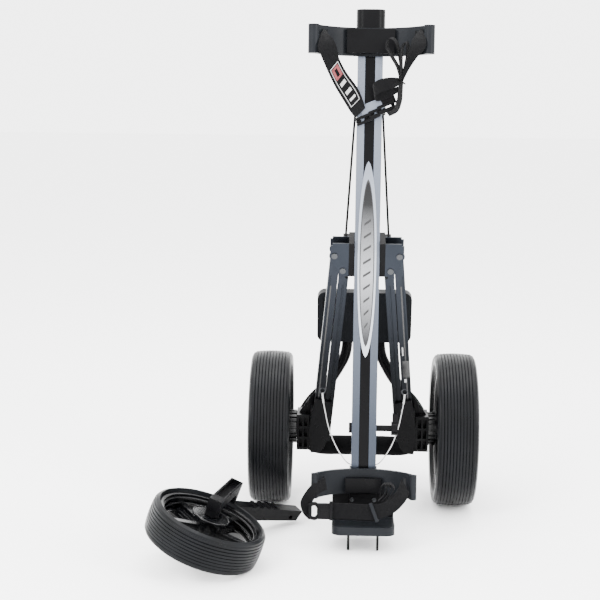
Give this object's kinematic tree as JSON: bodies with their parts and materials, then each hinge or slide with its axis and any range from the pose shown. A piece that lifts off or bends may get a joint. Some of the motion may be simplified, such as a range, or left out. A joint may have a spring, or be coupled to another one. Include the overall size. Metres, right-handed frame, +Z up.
{
  "type": "golf_push_cart",
  "caption": "Folding golf push cart standing folded, with its front wheel unit taken off and laid beside it",
  "frame": {"origin": "on the floor, below the middle of the whole part's box", "axes": "+Z up, +X to the right seen from the front, +Y to the back, where the rear wheels are"},
  "size_m": [0.5635, 0.5989, 0.903],
  "materials": {
    "spine_alloy": "anodised satin",
    "channel_black": "gloss",
    "badge": "printed and lacquered",
    "leg_alloy": "anodised satin",
    "plate_alloy": "brushed",
    "pin_steel": "satin",
    "tread": "semi-gloss",
    "rim_plastic": "gloss",
    "webbing": "woven",
    "buckle_plastic": "satin",
    "foam": "matt",
    "black_tube": "gloss powder coat",
    "wire": "plastic covered",
    "grey_plastic": "satin",
    "console_plastic": "satin",
    "black_plastic": "satin"
  },
  "bodies": {
    "frame": {"spine": "spine_alloy", "channel_strip": "channel_black", "badge": "badge", "top_housing": "black_plastic", "upper_saddle": "black_plastic", "upper_cradle": "grey_plastic", "upper_pad": "black_plastic", "upper_strap_left": "webbing", "upper_strap_right": "webbing", "upper_buckle": "buckle_plastic", "leg_block": "black_plastic", "plates_front": "plate_alloy", "plates_back": "plate_alloy", "leg_pins": "pin_steel", "stay_rods": "black_tube", "rod_yoke": "black_plastic", "end_collar": "black_plastic", "lower_saddle": "black_plastic", "lower_cradle": "grey_plastic", "lower_pad": "black_plastic", "lower_block": "black_plastic", "back_plate": "black_plastic", "ledge": "grey_plastic", "stand_pins": "black_tube", "lower_screws": "pin_steel", "lower_strap": "webbing", "lower_strap_tail": "webbing", "lower_buckle": "buckle_plastic", "clamp_spindle": "buckle_plastic", "wire_left": "wire", "wire_right": "wire", "handle_hinge_pin": "pin_steel"},
    "clamp_lever": {"clamp_lever": "buckle_plastic"},
    "handle": {"handle_tube": "black_tube", "handle_loop": "black_tube", "handle_grip": "foam", "console": "console_plastic", "console_clip": "buckle_plastic"},
    "outer_leg_left": {"outer_bar_left": "leg_alloy"},
    "inner_leg_left": {"inner_bar_left": "leg_alloy"},
    "carrier_left": {"carrier_left": "black_plastic", "carrier_pins_left": "black_plastic", "axle_left": "pin_steel"},
    "wheel_left": {"wheel_rim_left": "rim_plastic", "tyre_left": "tread"},
    "outer_leg_right": {"outer_bar_right": "leg_alloy"},
    "inner_leg_right": {"inner_bar_right": "leg_alloy"},
    "carrier_right": {"carrier_right": "black_plastic", "carrier_pins_right": "black_plastic", "axle_right": "pin_steel"},
    "wheel_right": {"wheel_rim_right": "rim_plastic", "tyre_right": "tread"},
    "front_unit": {"front_axle": "pin_steel", "front_fork": "black_plastic", "front_arm": "black_plastic"},
    "front_wheel": {"front_tyre": "tread", "front_rim": "rim_plastic"}
  },
  "joints": [
    {"name": "leg_left_swing", "type": "hinge", "parent": "frame", "child": "outer_leg_left", "pos_m": [0.0199, -0.00561, 0.49374], "axis": [0, 0.9397, 0.342], "range_deg": [0, 32]},
    {"name": "inner_left_swing", "type": "hinge", "parent": "frame", "child": "inner_leg_left", "pos_m": [0.0344, 0.00413, 0.46696], "axis": [0, 0.9397, 0.342], "range_deg": [0, 32]},
    {"name": "carrier_left_level", "type": "hinge", "parent": "outer_leg_left", "child": "carrier_left", "pos_m": [-0.01017, 0.11434, 0.16418], "axis": [0, 0.9397, 0.342], "range_deg": [-32, 0]},
    {"name": "wheel_left_spin", "type": "hinge", "parent": "carrier_left", "child": "wheel_left", "pos_m": [-0.0936, 0.15894, 0.141], "axis": [1, 0, 0], "continuous": true},
    {"name": "leg_right_swing", "type": "hinge", "parent": "frame", "child": "outer_leg_right", "pos_m": [0.1309, -0.00561, 0.49374], "axis": [0, -0.9397, -0.342], "range_deg": [0, 32]},
    {"name": "inner_right_swing", "type": "hinge", "parent": "frame", "child": "inner_leg_right", "pos_m": [0.1164, 0.00413, 0.46696], "axis": [0, -0.9397, -0.342], "range_deg": [0, 32]},
    {"name": "carrier_right_level", "type": "hinge", "parent": "outer_leg_right", "child": "carrier_right", "pos_m": [0.16097, 0.11434, 0.16418], "axis": [0, -0.9397, -0.342], "range_deg": [-32, 0]},
    {"name": "wheel_right_spin", "type": "hinge", "parent": "carrier_right", "child": "wheel_right", "pos_m": [0.2444, 0.15894, 0.141], "axis": [1, 0, 0], "continuous": true},
    {"name": "handle_fold", "type": "hinge", "parent": "frame", "child": "handle", "pos_m": [0.0754, 0.07596, 0.8764], "axis": [1, 0, 0], "range_deg": [0, 140]},
    {"name": "clamp_turn", "type": "hinge", "parent": "frame", "child": "clamp_lever", "pos_m": [0.1224, -0.02528, 0.18961], "axis": [1, 0, 0], "range_deg": [0, 90]},
    {"name": "front_unit_slide", "type": "slide", "parent": "frame", "child": "front_unit", "axis": [0, -1, 0], "range_m": [0, 0.25]},
    {"name": "front_wheel_spin", "type": "hinge", "parent": "front_unit", "child": "front_wheel", "pos_m": [-0.1836, -0.20094, 0.05942], "axis": [0.3504, -0.0359, 0.9359], "continuous": true}
  ],
  "couplings": [
    {"joint": "inner_left_swing", "follows": "leg_left_swing", "ratio": 1},
    {"joint": "carrier_left_level", "follows": "leg_left_swing", "ratio": -1},
    {"joint": "inner_right_swing", "follows": "leg_left_swing", "ratio": 1},
    {"joint": "carrier_right_level", "follows": "leg_left_swing", "ratio": -1},
    {"joint": "leg_right_swing", "follows": "leg_left_swing", "ratio": 1}
  ]
}
